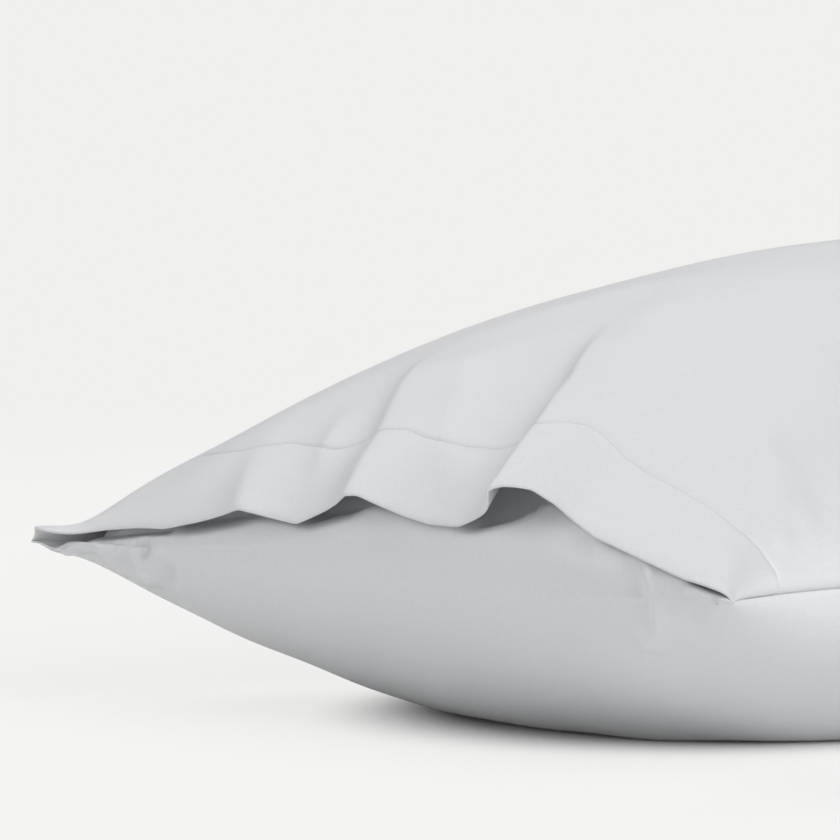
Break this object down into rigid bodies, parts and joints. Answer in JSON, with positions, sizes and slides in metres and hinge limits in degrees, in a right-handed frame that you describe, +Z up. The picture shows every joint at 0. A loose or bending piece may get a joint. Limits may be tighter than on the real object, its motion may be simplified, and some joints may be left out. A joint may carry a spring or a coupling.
{
  "type": "pillowcase on a pillow",
  "caption": "Plain sateen pillowcase on a plump pillow lying flat, with a stitched deep hem whose loose edge ripples over a tuck-in flap at the open end.",
  "frame": {"origin": "under the middle of the part's box, on the surface that the pillow lies on", "axes": "+X along the pillow, from the open end with the hem to the closed end; +Y across it; +Z up out of its upper panel"},
  "size_m": [0.686, 0.5052, 0.2159],
  "materials": {
    "lower_panel_sateen": "smooth sateen, soft sheen",
    "upper_panel_sateen": "smooth sateen, soft sheen"
  },
  "bodies": {
    "root": {"lower_panel_filled": "lower_panel_sateen", "upper_panel_hemmed": "upper_panel_sateen"}
  },
  "joints": []
}
